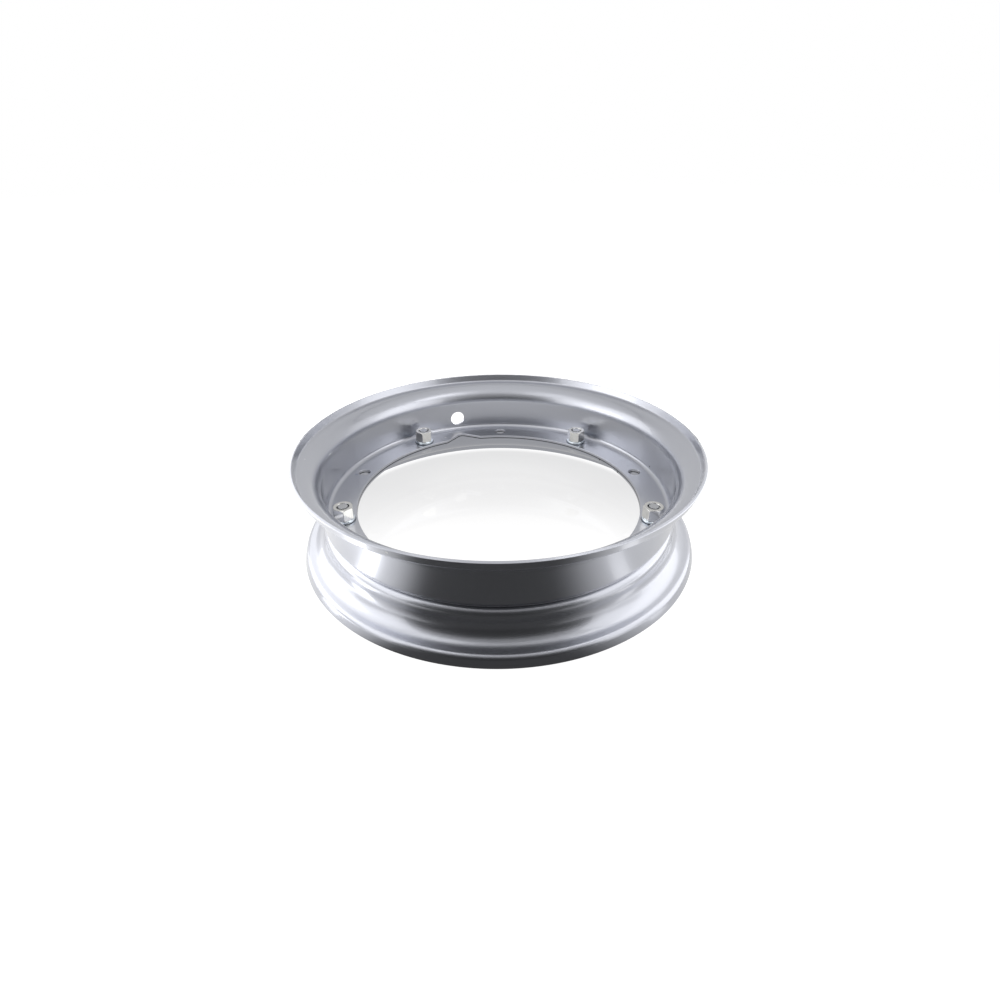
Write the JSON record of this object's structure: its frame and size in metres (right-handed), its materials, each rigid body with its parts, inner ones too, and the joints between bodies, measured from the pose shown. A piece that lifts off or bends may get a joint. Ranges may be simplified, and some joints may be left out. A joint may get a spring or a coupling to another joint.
{
  "type": "motor scooter rim",
  "caption": "Split wheel rim for a motor scooter: pressed steel halves bolted flange to flange with studs, spring washers and nuts, with a valve hole in the wall and a notch for the stem.",
  "frame": {"origin": "on the wheel axis, in the plane of the lower lip's edge, on which the rim lies", "axes": "+Z along the wheel axis, from the half with the stud heads to the half with the nuts; +Y through one free mounting hole, 18 degrees clockwise (seen from above) from the valve hole"},
  "size_m": [0.285, 0.285, 0.0744],
  "materials": {
    "silver_paint": "glossy silver metallic paint",
    "zinc_plate": "zinc plated steel, satin"
  },
  "bodies": {
    "root": {"upper_half_rim": "silver_paint", "lower_half_rim": "silver_paint", "stud_1": "zinc_plate", "stud_2": "zinc_plate", "stud_3": "zinc_plate", "stud_4": "zinc_plate", "stud_5": "zinc_plate", "spring_washer_1": "zinc_plate", "spring_washer_2": "zinc_plate", "spring_washer_3": "zinc_plate", "spring_washer_4": "zinc_plate", "spring_washer_5": "zinc_plate", "nut_1": "zinc_plate", "nut_2": "zinc_plate", "nut_3": "zinc_plate", "nut_4": "zinc_plate", "nut_5": "zinc_plate"}
  },
  "joints": []
}
